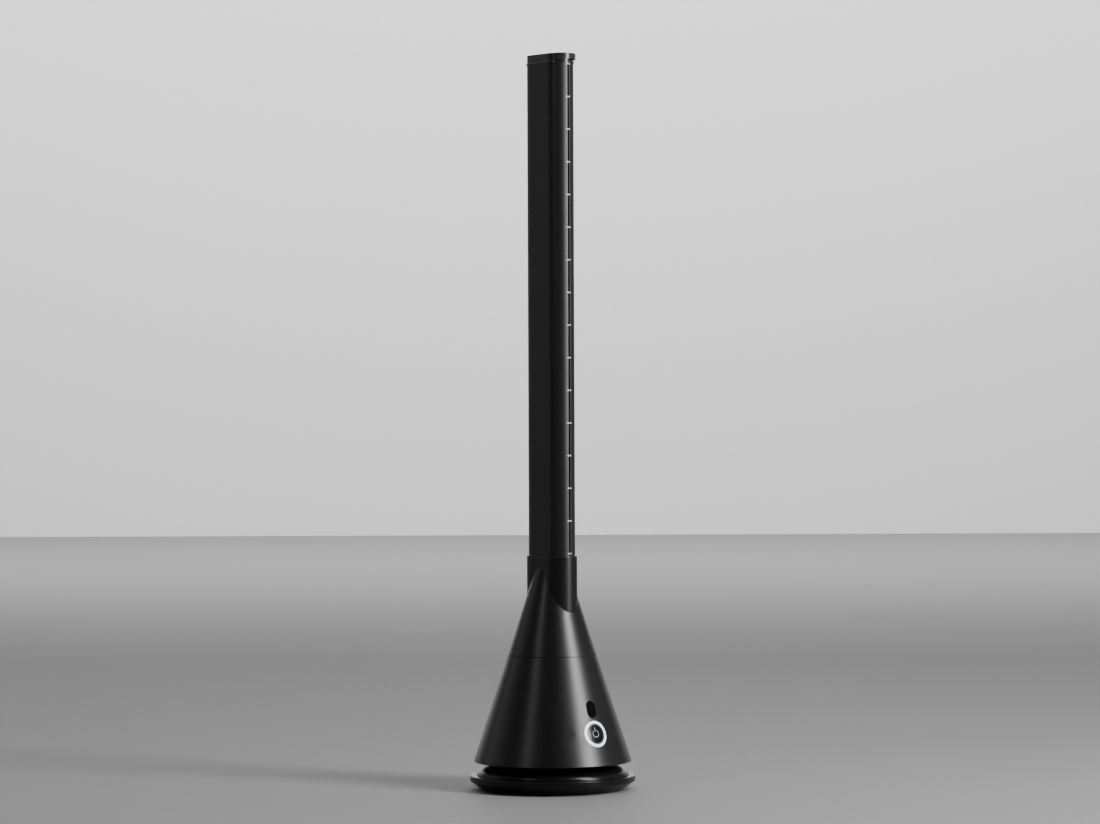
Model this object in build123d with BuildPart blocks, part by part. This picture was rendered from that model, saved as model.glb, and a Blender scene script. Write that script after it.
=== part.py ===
from build123d import *
import os
from math import cos, pi, radians, sin, tan

os.makedirs("parts", exist_ok=True)

# A bladeless tower fan in millimetres. The origin is on the floor under the centre of
# the base, +Z is up, and the air slot, the button and the window look towards -Y.

# Clearances and small fits
seat_gap = 0.3
running_gap = 0.05
glue_gap = 0.1

# Base: a pan with a visible rim, a domed cover on it and a plate underneath
base_r = 110.0
foot_inset = 14.0
rim_top_z = 19.0
rim_face_h = 7.4
underside_z = 1.6
rim_ledge_w = 8.6
pan_wall = 2.6
deck_top_z = 14.0
deck_t = 2.2
plate_t = 2.0
plate_screw_count = 6
pad_r = 7.0
pad_count = 6
pad_inset = 18.0
ballast_inset = 10.0
ballast_t = 7.0

dome_gap = 0.2
dome_top_z = 33.0
dome_fall = 30.0
dome_t = 2.2
bearing_well_r = 54.0
bearing_well_depth = 3.0

# Spindle, hub and turntable
spindle_r = 8.0
spindle_bore_r = 4.5
spindle_top_z = 55.0
spindle_flange_r = 14.0
bushing_t = 2.1
hub_r = 17.0
hub_top_z = 50.0
turntable_r = 70.0
turntable_z = 37.0
turntable_t = 3.5
rib_t = 2.4
rib_h = 7.0
rib_count = 6
race_r = 47.0
race_w = 10.0
race_t = 1.6
ball_r = 2.5
ball_count = 18

# Swing drive
gear_module = 1.0
gear_teeth = 60
pinion_teeth = 12
gear_z = 19.0
gear_t = 5.2
pinion_h = 6.4
motor_r = 14.0
motor_h = 11.0
motor_angle = 180.0

# Cone body and collar
cone_foot_z = 37.0
cone_foot_r = 105.2
cone_half_angle = 17.97
cone_wall = 2.6
seam_z = 178.4
seam_gap = 0.8
collar_end_wall = 2.5
collar_side_wall = 2.65
collar_top_z = 310.3
collar_edge_r = 0.8
socket_floor_z = 266.0
ledge_t = 3.0
throat_h = 20.0
flange_z = 168.0
flange_t = 2.4
flange_inset = 60.2
shell_boss_r = 3.5
shell_boss_h = 30.0

# Intake grille in the floor of the cone
grille_t = 3.0
grille_slots = 72
grille_slot_w = 4.2
grille_hub_w = 10.0

# Blower
bucket_gap = 2.0
bucket_wall = 2.0
bucket_bottom_z = 92.0
bucket_flange_w = 6.0
isolator_t = 3.0
mouth_flare = 6.0
tip_gap = 1.0
pod_r = 23.0
pod_wall = 2.0
pod_bottom_z = 130.0
pod_top_z = 162.0
vane_count = 9
vane_t = 1.6
blade_count = 9
blade_t = 1.6
impeller_z = 103.0
impeller_h = 25.0
shaft_r = 2.5
motor_bearing_r = 8.0
motor_bearing_t = 5.0
stator_t = 8.0
stator_h = 18.0
tail_h = 18.0

# Column
column_length = 76.3
column_width = 38.1
column_wall = 2.0
column_top_z = 963.5
slot_w = 2.5
lip_t = 2.0
lip_depth = 9.0
slot_foot_z = 314.2
slot_head_gap = 1.5
vane_pitches = 15
vane_h = 1.6
vane_recess = 0.2
gasket_t = 2.0
foot_rim = 5.0
foot_h = 15.0
foot_screw_depth = 12.0
wing_w = 12.0

# Top
ring_h = 5.0
bead_h = 2.6
bead_out = 1.0
cap_h = 8.0
cap_edge_r = 0.6
visor_out = 3.0
visor_half_angle = 48.0
visor_drop = 1.2
skirt_depth = 12.0

# Button and window on the front of the cone
button_z = 79.0
ring_outer_r = 17.5
ring_inner_r = 12.2
ring_depth = 5.0
button_recess = 0.4
button_t = 6.0
button_travel = 0.8
mark_r = 4.6
mark_stroke = 1.0
mark_drop = 1.0
mark_gap_w = 4.0
mark_bar = 5.8
mark_depth = 0.5
housing_wall = 1.8
housing_r = 19.5
board_inset = 14.0
button_lip = 1.0
plunger_r = 3.0
switch_w = 6.0
switch_h = 3.2
window_z = 110.4
window_w = 14.6
window_h = 23.6
window_recess = 1.2
window_t = 2.4
window_flange = 1.2
board_w = 42.0
board_h = 70.0
board_t = 1.6

# Fasteners
screw_r = 1.5
screw_head_r = 2.8
screw_head_h = 1.8

# Values that follow from the sizes above
foot_r = base_r - foot_inset
pad_circle_r = foot_r - pad_inset
ballast_r = foot_r - ballast_inset
dome_r = base_r - rim_ledge_w - dome_gap
foot_length = column_length - 2 * column_wall - 2 * glue_gap
foot_width = column_width - 2 * column_wall - 2 * glue_gap
air_length = foot_length - 2 * foot_rim
air_width = foot_width - 2 * foot_rim
cone_taper = tan(radians(cone_half_angle))
collar_length = column_length + 2 * collar_end_wall
collar_width = column_width + 2 * collar_side_wall
flange_bore_r = cone_foot_r - flange_inset
bucket_r = flange_bore_r - bucket_gap
dome_rise = dome_top_z - rim_top_z
deck_z = deck_top_z - deck_t
column_bottom_z = socket_floor_z + ledge_t + gasket_t
race_z = dome_top_z - bearing_well_depth
ball_z = (race_z + turntable_z) / 2
hub_bottom_z = gear_z + gear_t + glue_gap
drive_radius = gear_module * (gear_teeth + pinion_teeth) / 2
hub_bore_r = spindle_r + running_gap + bushing_t


def cone_r(z):
    """Outer radius of the cone at a height."""
    return cone_foot_r - (z - cone_foot_z) * cone_taper


def inner_r(z):
    """Inner radius of the cone's wall at a height."""
    return cone_r(z) - cone_wall


def ring_points(r_in, r_out, z_low, z_high):
    """Corners of a ring's section, to be turned about Z."""
    return [(r_in, z_low), (r_out, z_low), (r_out, z_high), (r_in, z_high)]


def gear_points(teeth):
    """Outline of a spur gear, two points on each flank."""
    pitch = gear_module * teeth / 2
    root = pitch - 1.2 * gear_module
    tip = pitch + 0.9 * gear_module
    step = 2 * pi / teeth
    profile = ((-0.32, root), (-0.22, pitch), (-0.1, tip), (0.1, tip), (0.22, pitch), (0.32, root))
    points = []
    for tooth in range(teeth):
        for share, radius in profile:
            turn = (tooth + share) * step
            points.append((radius * cos(turn), radius * sin(turn)))
    return points


def front_plane(z):
    """Plane on the front of the cone at a height, its normal pointing outwards."""
    tilt = radians(cone_half_angle)
    normal = Vector(0, -cos(tilt), sin(tilt))
    return Plane(origin=(0, -cone_r(z), z), x_dir=(1, 0, 0), z_dir=normal)


def stadium(length, width, grow=0.0):
    """Stadium outline along Y in the sketch that is open."""
    return SlotOverall(length + 2 * grow, width + 2 * grow, rotation=90)


def cone_section(shrink, z_low, z_high):
    """Corners of the cone's half section, shrunk sideways."""
    return [(0, z_low), (cone_r(z_low) - shrink, z_low), (cone_r(z_high) - shrink, z_high), (0, z_high)]


def screw_group(places, head_z, length, up=True):
    """Screws with round heads, standing at the places given."""
    turn = 1 if up else -1
    with BuildPart() as group:
        with BuildSketch(Plane.XY.offset(head_z)):
            with Locations(*places):
                Circle(screw_head_r)
                RegularPolygon(screw_r * 0.7, 6, mode=Mode.SUBTRACT)
        extrude(amount=-turn * screw_head_h)
        with BuildSketch(Plane.XY.offset(head_z)):
            with Locations(*places):
                Circle(screw_r)
        extrude(amount=turn * length)
        with BuildSketch(Plane.XY.offset(head_z)):
            with Locations(*places):
                Circle(screw_r)
        extrude(amount=-turn * screw_head_h / 3)
    return group


def around(radius, count, start=0.0):
    """Places on a circle."""
    return [
        (radius * cos(radians(start + 360 * k / count)), radius * sin(radians(start + 360 * k / count)))
        for k in range(count)
    ]


# Power socket place, at the rear of the base
socket_w = 13.0
socket_h = 9.0
socket_depth = 13.0
socket_face_y = base_r - 9.0
socket_z = 8.9
notch_w = 16.0
lead_r = 1.6
lead_z = 6.4

# Places of the swing motor, the plate's screws and the pads
motor_place = around(drive_radius, 1, motor_angle)
motor_x, motor_y = motor_place[0]
ear_reach = motor_r + 4.0
motor_screw_places = [(motor_x, motor_y + ear_reach), (motor_x, motor_y - ear_reach)]
pad_places = around(pad_circle_r, pad_count, 30)

# Base disc: the pan with its tapered underside, the rim and the deck
plate_screw_places = around(foot_r - pan_wall - 6.0, plate_screw_count)
with BuildPart() as base_disc:
    with BuildSketch(Plane.XZ):
        Polygon(
            (foot_r - pan_wall, underside_z),
            (foot_r, underside_z),
            (base_r, rim_top_z - rim_face_h),
            (base_r, rim_top_z),
            (base_r - rim_ledge_w, rim_top_z),
            (base_r - rim_ledge_w, deck_top_z),
            (0, deck_top_z),
            (0, deck_z),
            (base_r - pan_wall * 2, deck_z),
        )
    revolve(axis=Axis.Z)
    rim_edges = base_disc.edges().filter_by(GeomType.CIRCLE)
    rim_edges = rim_edges.filter_by(lambda e: abs(e.radius - base_r) < 0.01)
    fillet(rim_edges.sort_by(Axis.Z)[-1], 1.0)
    with BuildSketch(Plane.XY.offset(deck_z)):
        with Locations(*plate_screw_places):
            Circle(screw_r + 2.0)
    extrude(amount=-(deck_z - underside_z - plate_t))
    with BuildSketch(Plane.XY):
        Circle(spindle_r + glue_gap)
        with Locations(*motor_place):
            Circle(motor_r + seat_gap)
        with Locations(*plate_screw_places, *motor_screw_places):
            Circle(screw_r)
    extrude(amount=deck_z + deck_t + 1, mode=Mode.SUBTRACT)
    with BuildSketch(Plane.XY):
        with Locations((0, base_r)):
            Rectangle(notch_w, 2 * (base_r - socket_face_y))
        with Locations((0, socket_face_y - socket_depth / 2)):
            Rectangle(socket_w + 2 * glue_gap, socket_depth + 2 * glue_gap)
    extrude(amount=rim_top_z - 1.6, mode=Mode.SUBTRACT)
base_disc.part.label = "base_disc"
export_step(base_disc.part, "parts/base_disc.step")

# Domed cover: the glossy shoulder that falls to the rim, with a well for the bearing
dome_in = dome_r - dome_fall
cover_foot_z = deck_top_z + seat_gap
with BuildPart() as domed_cover:
    with BuildSketch(Plane.XZ):
        with BuildLine():
            Line((dome_r, cover_foot_z), (dome_r, rim_top_z))
            EllipticalCenterArc((dome_in, rim_top_z), dome_fall, dome_rise, start_angle=0, arc_size=90)
            Line((dome_in, dome_top_z), (bearing_well_r, dome_top_z))
            Line((bearing_well_r, dome_top_z), (bearing_well_r, race_z))
            Line((bearing_well_r, race_z), (hub_r + 0.8, race_z))
            Line((hub_r + 0.8, race_z), (hub_r + 0.8, race_z - dome_t))
            Line((hub_r + 0.8, race_z - dome_t), (dome_in, race_z - dome_t))
            EllipticalCenterArc(
                (dome_in, rim_top_z), dome_fall - dome_t, race_z - dome_t - rim_top_z, start_angle=90, arc_size=-90
            )
            Line((dome_r - dome_t, rim_top_z), (dome_r - dome_t, cover_foot_z))
            Line((dome_r - dome_t, cover_foot_z), (dome_r, cover_foot_z))
        make_face()
    revolve(axis=Axis.Z)
domed_cover.part.label = "domed_cover"
export_step(domed_cover.part, "parts/domed_cover.step")

# Bottom plate with pockets for the pads
with BuildPart() as bottom_plate:
    with BuildSketch(Plane.XY.offset(underside_z)):
        Circle(foot_r - pan_wall - seat_gap)
        with Locations((0, base_r)):
            Rectangle(notch_w, 2 * (base_r - socket_face_y + socket_depth + 1), mode=Mode.SUBTRACT)
        with Locations(*pad_places):
            Circle(pad_r * 0.6, mode=Mode.SUBTRACT)
        with Locations(*plate_screw_places):
            Circle(screw_r + 0.1, mode=Mode.SUBTRACT)
    extrude(amount=plate_t)
    with BuildSketch(Plane.XY.offset(underside_z)):
        with Locations(*plate_screw_places):
            Circle(screw_head_r + 0.2)
    extrude(amount=plate_t / 2, mode=Mode.SUBTRACT)
bottom_plate.part.label = "bottom_plate"
export_step(bottom_plate.part, "parts/bottom_plate.step")

# Rubber pads: a tread below the plate and a plug through it
with BuildPart() as rubber_feet:
    with BuildSketch(Plane.XY):
        with Locations(*pad_places):
            Circle(pad_r)
    extrude(amount=underside_z)
    with BuildSketch(Plane.XY.offset(underside_z)):
        with Locations(*pad_places):
            Circle(pad_r * 0.6)
    extrude(amount=plate_t)
rubber_feet.part.label = "rubber_feet"
export_step(rubber_feet.part, "parts/rubber_feet.step")

base_screws = screw_group(plate_screw_places, underside_z + plate_t / 2, deck_z - underside_z - plate_t)
base_screws.part.label = "base_screws"
export_step(base_screws.part, "parts/base_screws.step")

# Ballast plate under the deck, cut out for the motor, the spindle and the socket
ballast_z = deck_z - ballast_t
with BuildPart() as ballast_plate:
    with BuildSketch(Plane.XY.offset(ballast_z)):
        Circle(ballast_r)
        Circle(spindle_flange_r + 1, mode=Mode.SUBTRACT)
        with Locations(*motor_place):
            Circle(motor_r + 1, mode=Mode.SUBTRACT)
        with Locations((0, base_r)):
            Rectangle(notch_w + 6, 2 * (base_r - socket_face_y + socket_depth + 3), mode=Mode.SUBTRACT)
        with Locations(*plate_screw_places):
            Circle(screw_r + 3.0, mode=Mode.SUBTRACT)
        with Locations((0, ballast_r / 2)):
            Rectangle(lead_r * 2 + 4.0, ballast_r, mode=Mode.SUBTRACT)
    extrude(amount=ballast_t)
ballast_plate.part.label = "ballast_plate"
export_step(ballast_plate.part, "parts/ballast_plate.step")

# Spindle: a hollow post flanged under the deck, with a groove for the clip and a window for the wire
clip_t = 1.2
washer_t = 1.0
washer_z = hub_top_z
clip_z = washer_z + washer_t + glue_gap
clip_groove_r = spindle_r - 1.2
with BuildPart() as spindle:
    with BuildSketch(Plane.XZ):
        Polygon(
            (spindle_bore_r, deck_z - 3.0),
            (spindle_flange_r, deck_z - 3.0),
            (spindle_flange_r, deck_z),
            (spindle_r, deck_z),
            (spindle_r, clip_z),
            (clip_groove_r, clip_z),
            (clip_groove_r, clip_z + clip_t + glue_gap),
            (spindle_r, clip_z + clip_t + glue_gap),
            (spindle_r, spindle_top_z),
            (spindle_bore_r, spindle_top_z),
        )
    revolve(axis=Axis.Z)
spindle.part.label = "spindle"
export_step(spindle.part, "parts/spindle.step")

with BuildPart() as retaining_clip:
    with BuildSketch(Plane.XY.offset(clip_z)):
        Circle(spindle_r + 3)
        Circle(clip_groove_r, mode=Mode.SUBTRACT)
        with Locations((spindle_r, 0)):
            Rectangle(2 * spindle_r, 5, mode=Mode.SUBTRACT)
    extrude(amount=clip_t)
retaining_clip.part.label = "retaining_clip"
export_step(retaining_clip.part, "parts/retaining_clip.step")

with BuildPart() as thrust_washer:
    with BuildSketch(Plane.XY.offset(washer_z)):
        Circle(hub_r - 1)
        Circle(spindle_r + running_gap, mode=Mode.SUBTRACT)
    extrude(amount=washer_t)
thrust_washer.part.label = "thrust_washer"
export_step(thrust_washer.part, "parts/thrust_washer.step")


def race(z_low, z_high):
    """Flat ring with a groove for the balls."""
    with BuildPart() as ring:
        with BuildSketch(Plane.XZ):
            Polygon(*ring_points(race_r - race_w / 2, race_r + race_w / 2, z_low, z_high))
            with Locations((race_r, ball_z)):
                Circle(ball_r + running_gap, mode=Mode.SUBTRACT)
        revolve(axis=Axis.Z)
    return ring


lower_race = race(race_z, race_z + race_t)
lower_race.part.label = "lower_race"
export_step(lower_race.part, "parts/lower_race.step")

upper_race = race(turntable_z - race_t, turntable_z)
upper_race.part.label = "upper_race"
export_step(upper_race.part, "parts/upper_race.step")

with BuildPart() as bearing_balls:
    with Locations(*[(x, y, ball_z) for x, y in around(race_r, ball_count)]):
        Sphere(ball_r)
bearing_balls.part.label = "bearing_balls"
export_step(bearing_balls.part, "parts/bearing_balls.step")

cage_t = 1.4
with BuildPart() as ball_cage:
    with BuildSketch(Plane.XY.offset(ball_z - cage_t / 2)):
        Circle(race_r + race_w / 2 - 0.6)
        Circle(race_r - race_w / 2 + 0.6, mode=Mode.SUBTRACT)
        with Locations(*around(race_r, ball_count)):
            Circle(ball_r + 0.15, mode=Mode.SUBTRACT)
    extrude(amount=cage_t)
ball_cage.part.label = "ball_cage"
export_step(ball_cage.part, "parts/ball_cage.step")

# Power socket: a block with a round well and a centre pin, its face at the back of the notch
well_r = 3.0
well_depth = 9.0
with BuildPart() as power_socket:
    with BuildSketch(Plane.XZ.offset(-socket_face_y)):
        with Locations((0, socket_z)):
            RectangleRounded(socket_w, socket_h, 1.0)
    extrude(amount=socket_depth)
    with BuildSketch(Plane.XZ.offset(-socket_face_y)):
        with Locations((0, socket_z)):
            Circle(well_r)
    extrude(amount=well_depth, mode=Mode.SUBTRACT)
    with BuildSketch(Plane.XZ.offset(-socket_face_y + well_depth)):
        with Locations((0, socket_z)):
            Circle(1.0)
    extrude(amount=-well_depth + 1.0)
power_socket.part.label = "power_socket"
export_step(power_socket.part, "parts/power_socket.step")

# Swing motor: a flat geared motor hung from the deck by two ears
motor_top_z = deck_top_z + 1.2
with BuildPart() as swing_motor:
    with BuildSketch(Plane.XY.offset(motor_top_z - motor_h)):
        with Locations(*motor_place):
            Circle(motor_r)
    extrude(amount=motor_h)
    with BuildSketch(Plane.XY.offset(deck_top_z)):
        with Locations(*motor_place):
            SlotOverall(2 * ear_reach + 6, 7.0, rotation=90)
        with Locations((motor_x, motor_y + ear_reach), (motor_x, motor_y - ear_reach)):
            Circle(screw_r + 0.1, mode=Mode.SUBTRACT)
    extrude(amount=1.2)
    with BuildSketch(Plane.XY.offset(motor_top_z)):
        with Locations(*motor_place):
            Circle(4.5)
    extrude(amount=1.6)
    with BuildSketch(Plane.XY.offset(motor_top_z)):
        with Locations(*motor_place):
            Circle(2.0)
    extrude(amount=gear_z + gear_t - motor_top_z)
swing_motor.part.label = "swing_motor"
export_step(swing_motor.part, "parts/swing_motor.step")

swing_motor_screws = screw_group(motor_screw_places, motor_top_z, deck_t, up=False)
swing_motor_screws.part.label = "swing_motor_screws"
export_step(swing_motor_screws.part, "parts/swing_motor_screws.step")

with BuildPart() as swing_pinion:
    with BuildSketch(Plane.XY.offset(gear_z - 0.6)):
        with Locations(Location((motor_x, motor_y, 0), (0, 0, 180 / pinion_teeth))):
            Polygon(*gear_points(pinion_teeth))
        with Locations(*motor_place):
            Circle(2.0 + running_gap, mode=Mode.SUBTRACT)
    extrude(amount=pinion_h)
swing_pinion.part.label = "swing_pinion"
export_step(swing_pinion.part, "parts/swing_pinion.step")

# Gear under the turntable's hub
gear_screw_places = around((hub_bore_r + hub_r) / 2, 3, 90)
with BuildPart() as swing_gear:
    with BuildSketch(Plane.XY.offset(gear_z)):
        Polygon(*gear_points(gear_teeth))
        Circle(spindle_r + seat_gap, mode=Mode.SUBTRACT)
        with Locations(*gear_screw_places):
            Circle(screw_r + 0.1, mode=Mode.SUBTRACT)
        with Locations(*around((hub_r + gear_teeth * gear_module / 2) / 2, 6)):
            Circle(3.2, mode=Mode.SUBTRACT)
    extrude(amount=gear_t)
swing_gear.part.label = "swing_gear"
export_step(swing_gear.part, "parts/swing_gear.step")

gear_screws = screw_group(gear_screw_places, gear_z, gear_t + 8.0)
gear_screws.part.label = "gear_screws"
export_step(gear_screws.part, "parts/gear_screws.step")

with BuildPart() as hub_bushing:
    with BuildSketch(Plane.XZ):
        Polygon(*ring_points(spindle_r + running_gap, hub_bore_r - running_gap, hub_bottom_z, hub_top_z))
    revolve(axis=Axis.Z)
hub_bushing.part.label = "hub_bushing"
export_step(hub_bushing.part, "parts/hub_bushing.step")

# Turntable: hub, plate and ribs that carry the body
turntable_top_z = turntable_z + turntable_t
board_post_places = [(-20.0, 28.0), (20.0, 28.0), (-20.0, 48.0), (20.0, 48.0)]
post_h = 10.0
grille_screw_places = around(turntable_r - grille_hub_w / 2, rib_count, 0)
with BuildPart() as turntable:
    with BuildSketch(Plane.XZ):
        Polygon(
            (hub_bore_r, hub_bottom_z),
            (hub_r, hub_bottom_z),
            (hub_r, turntable_z),
            (turntable_r, turntable_z),
            (turntable_r, turntable_top_z),
            (hub_r, turntable_top_z),
            (hub_r, hub_top_z),
            (hub_bore_r, hub_top_z),
        )
    revolve(axis=Axis.Z)
    with BuildSketch(Plane.XY.offset(turntable_top_z)):
        with PolarLocations((hub_r + turntable_r) / 2 - 6, rib_count, start_angle=30):
            Rectangle(turntable_r - hub_r - 10, rib_t)
        with Locations(*board_post_places):
            Circle(3.0)
    extrude(amount=rib_h)
    with BuildSketch(Plane.XY.offset(turntable_top_z + rib_h)):
        with Locations(*board_post_places):
            Circle(3.0)
    extrude(amount=post_h - rib_h)
    with BuildSketch(Plane.XY.offset(hub_bottom_z)):
        with Locations(*gear_screw_places):
            Circle(screw_r)
    extrude(amount=8.0, mode=Mode.SUBTRACT)
    with BuildSketch(Plane.XY.offset(turntable_top_z + post_h)):
        with Locations(*board_post_places):
            Circle(screw_r)
    extrude(amount=-6.0, mode=Mode.SUBTRACT)
    with BuildSketch(Plane.XY.offset(turntable_z)):
        with Locations(*grille_screw_places):
            Circle(screw_r)
    extrude(amount=turntable_t, mode=Mode.SUBTRACT)
turntable.part.label = "turntable"
export_step(turntable.part, "parts/turntable.step")

# Intake grille: an annular floor with radial slots that faces the shadow gap
grille_z = turntable_top_z + 0.0
grille_in_r = turntable_r - grille_hub_w
grille_top_z = grille_z + grille_t
foot_screw_r = cone_foot_r - cone_wall - 8.0
foot_screw_places = around(foot_screw_r, 4, 45)
slot_in_r = turntable_r + 2.0
slot_out_r = foot_screw_r - 6.0
with BuildPart() as intake_grille:
    with BuildSketch(Plane.XZ):
        Polygon(
            (grille_in_r, grille_z),
            (inner_r(grille_z) - glue_gap * 2, grille_z),
            (inner_r(grille_top_z) - glue_gap * 2, grille_top_z),
            (grille_in_r, grille_top_z),
        )
    revolve(axis=Axis.Z)
    with BuildSketch(Plane.XY.offset(grille_z)):
        with PolarLocations((slot_in_r + slot_out_r) / 2, grille_slots):
            SlotOverall(slot_out_r - slot_in_r, grille_slot_w)
        with Locations(*foot_screw_places):
            Circle(screw_r + 0.1)
        with Locations(*grille_screw_places):
            Circle(screw_r + 0.1)
    extrude(amount=grille_t, mode=Mode.SUBTRACT)
intake_grille.part.label = "intake_grille"
export_step(intake_grille.part, "parts/intake_grille.step")

# Lower cone: the conical shell with its foot bosses, its top flange and the front openings
shell_screw_places = around(flange_bore_r + 8.0, 4, 45)
board_screw_places = [(-27.0, 2.0), (27.0, 2.0)]
boss_inset = board_inset - 2.0
lower_top_z = seam_z - seam_gap / 2
button_plane = front_plane(button_z)
window_plane = front_plane(window_z)
with BuildPart() as lower_cone:
    with BuildSketch(Plane.XZ):
        Polygon(
            (inner_r(cone_foot_z), cone_foot_z),
            (cone_r(cone_foot_z), cone_foot_z),
            (cone_r(lower_top_z), lower_top_z),
            (inner_r(lower_top_z), lower_top_z),
            (inner_r(flange_z + flange_t), flange_z + flange_t),
            (flange_bore_r, flange_z + flange_t),
            (flange_bore_r, flange_z),
            (inner_r(flange_z), flange_z),
        )
    revolve(axis=Axis.Z)
    foot_edges = lower_cone.edges().filter_by(GeomType.CIRCLE)
    foot_edges = foot_edges.filter_by(lambda e: e.center().Z < cone_foot_z + 0.01)
    chamfer(foot_edges.sort_by(lambda e: e.radius)[-1], 0.9)
    with BuildSketch(Plane.XY.offset(grille_top_z)):
        with Locations(*foot_screw_places):
            Circle(4.5)
    extrude(amount=34.0)
    with BuildSketch(button_plane.offset(-boss_inset)):
        with Locations(*board_screw_places):
            Circle(3.5)
    extrude(amount=boss_inset)
    with BuildSketch(Plane.XZ):
        Polygon(
            (cone_r(grille_top_z), grille_top_z),
            (cone_r(grille_top_z) + 40, grille_top_z),
            (cone_r(lower_top_z) + 40, lower_top_z),
            (cone_r(lower_top_z), lower_top_z),
        )
    revolve(axis=Axis.Z, mode=Mode.SUBTRACT)
    with BuildSketch(button_plane.offset(-boss_inset)):
        with Locations(*board_screw_places):
            Circle(screw_r)
    extrude(amount=6.0, mode=Mode.SUBTRACT)
    with BuildSketch(Plane.XY.offset(grille_top_z)):
        with Locations(*foot_screw_places):
            Circle(screw_r)
    extrude(amount=10.0, mode=Mode.SUBTRACT)
    with BuildSketch(Plane.XY.offset(flange_z)):
        with Locations(*shell_screw_places):
            Circle(screw_r + 0.1)
    extrude(amount=flange_t, mode=Mode.SUBTRACT)
    with BuildSketch(button_plane.offset(2)):
        Circle(ring_outer_r + glue_gap)
    extrude(amount=-12, mode=Mode.SUBTRACT)
    with BuildSketch(window_plane.offset(2)):
        SlotOverall(window_h, window_w, rotation=90)
    extrude(amount=-12, mode=Mode.SUBTRACT)
lower_cone.part.label = "lower_cone"
export_step(lower_cone.part, "parts/lower_cone.step")

with BuildPart() as seam_gasket:
    with BuildSketch(Plane.XZ):
        Polygon(*ring_points(inner_r(seam_z), cone_r(seam_z) - 1.0, lower_top_z, lower_top_z + seam_gap))
    revolve(axis=Axis.Z)
seam_gasket.part.label = "seam_gasket"
export_step(seam_gasket.part, "parts/seam_gasket.step")

foot_screws = screw_group(foot_screw_places, grille_z, grille_t + 9.0)
foot_screws.part.label = "foot_screws"
export_step(foot_screws.part, "parts/foot_screws.step")

grille_screws = screw_group(grille_screw_places, grille_top_z, grille_t + turntable_t, up=False)
grille_screws.part.label = "grille_screws"
export_step(grille_screws.part, "parts/grille_screws.step")

# Upper cone: the shell above the seam, the collar prism and the socket for the column
upper_foot_z = seam_z + seam_gap / 2
upper_boss_z = flange_z + flange_t
upper_trim_z = upper_boss_z + shell_boss_h + 1.0
collar_foot_z = cone_foot_z + (cone_foot_r - collar_length / 2 - 2.0) / cone_taper
foot_hole_y = (foot_length - foot_rim) / 2
foot_hole_x = (foot_width - foot_rim) / 2
foot_hole_places = [(0.0, foot_hole_y), (0.0, -foot_hole_y), (foot_hole_x, 0.0), (-foot_hole_x, 0.0)]
with BuildPart() as upper_cone:
    with BuildSketch(Plane.XZ):
        Polygon(*cone_section(0, upper_foot_z, collar_top_z - 10.0))
    revolve(axis=Axis.Z)
    with BuildSketch(Plane.XY.offset(collar_foot_z)):
        stadium(collar_length, collar_width)
    extrude(amount=collar_top_z - collar_foot_z)
    top_edges = upper_cone.faces().sort_by(Axis.Z)[-1].edges()
    fillet(top_edges, collar_edge_r)
    with BuildSketch(Plane.XZ):
        Polygon(*cone_section(cone_wall, upper_foot_z, socket_floor_z))
    revolve(axis=Axis.Z, mode=Mode.SUBTRACT)
    with BuildSketch(Plane.XY.offset(socket_floor_z - throat_h)):
        stadium(column_length, column_width)
    extrude(amount=throat_h, mode=Mode.SUBTRACT)
    with BuildSketch(Plane.XY.offset(socket_floor_z)):
        stadium(air_length, air_width)
        with Locations(*foot_hole_places):
            Circle(screw_r + 0.1)
    extrude(amount=ledge_t, mode=Mode.SUBTRACT)
    with BuildSketch(Plane.XY.offset(socket_floor_z + ledge_t)):
        stadium(column_length, column_width, glue_gap)
    extrude(amount=collar_top_z, mode=Mode.SUBTRACT)
    with BuildSketch(Plane.XY.offset(upper_boss_z)):
        with Locations(*shell_screw_places):
            Circle(shell_boss_r)
    extrude(amount=shell_boss_h)
    with BuildSketch(Plane.XZ):
        Polygon(
            (cone_r(upper_foot_z), upper_foot_z),
            (cone_r(upper_foot_z) + 20, upper_foot_z),
            (cone_r(upper_foot_z) + 20, upper_trim_z),
            (cone_r(upper_trim_z), upper_trim_z),
        )
    revolve(axis=Axis.Z, mode=Mode.SUBTRACT)
    with BuildSketch(Plane.XY.offset(upper_boss_z)):
        with Locations(*shell_screw_places):
            Circle(screw_r)
    extrude(amount=10.0, mode=Mode.SUBTRACT)
upper_cone.part.label = "upper_cone"
export_step(upper_cone.part, "parts/upper_cone.step")

shell_screws = screw_group(shell_screw_places, flange_z, flange_t + 9.0)
shell_screws.part.label = "shell_screws"
export_step(shell_screws.part, "parts/shell_screws.step")

# Blower: the bucket hung in the flange on a soft ring
bucket_flange_r = bucket_r + bucket_flange_w
bucket_seat_z = upper_boss_z + isolator_t
with BuildPart() as isolator_ring:
    with BuildSketch(Plane.XZ):
        Polygon(*ring_points(flange_bore_r, bucket_flange_r, upper_boss_z, bucket_seat_z))
    revolve(axis=Axis.Z)
isolator_ring.part.label = "isolator_ring"
export_step(isolator_ring.part, "parts/isolator_ring.step")

with BuildPart() as fan_bucket:
    with BuildSketch(Plane.XZ):
        Polygon(
            (bucket_r - bucket_wall, bucket_bottom_z + mouth_flare),
            (bucket_r - bucket_wall + mouth_flare, bucket_bottom_z),
            (bucket_r + mouth_flare, bucket_bottom_z),
            (bucket_r, bucket_bottom_z + mouth_flare),
            (bucket_r, bucket_seat_z),
            (bucket_flange_r, bucket_seat_z),
            (bucket_flange_r, bucket_seat_z + bucket_wall),
            (bucket_r - bucket_wall, bucket_seat_z + bucket_wall),
        )
    revolve(axis=Axis.Z)
fan_bucket.part.label = "fan_bucket"
export_step(fan_bucket.part, "parts/fan_bucket.step")

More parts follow.
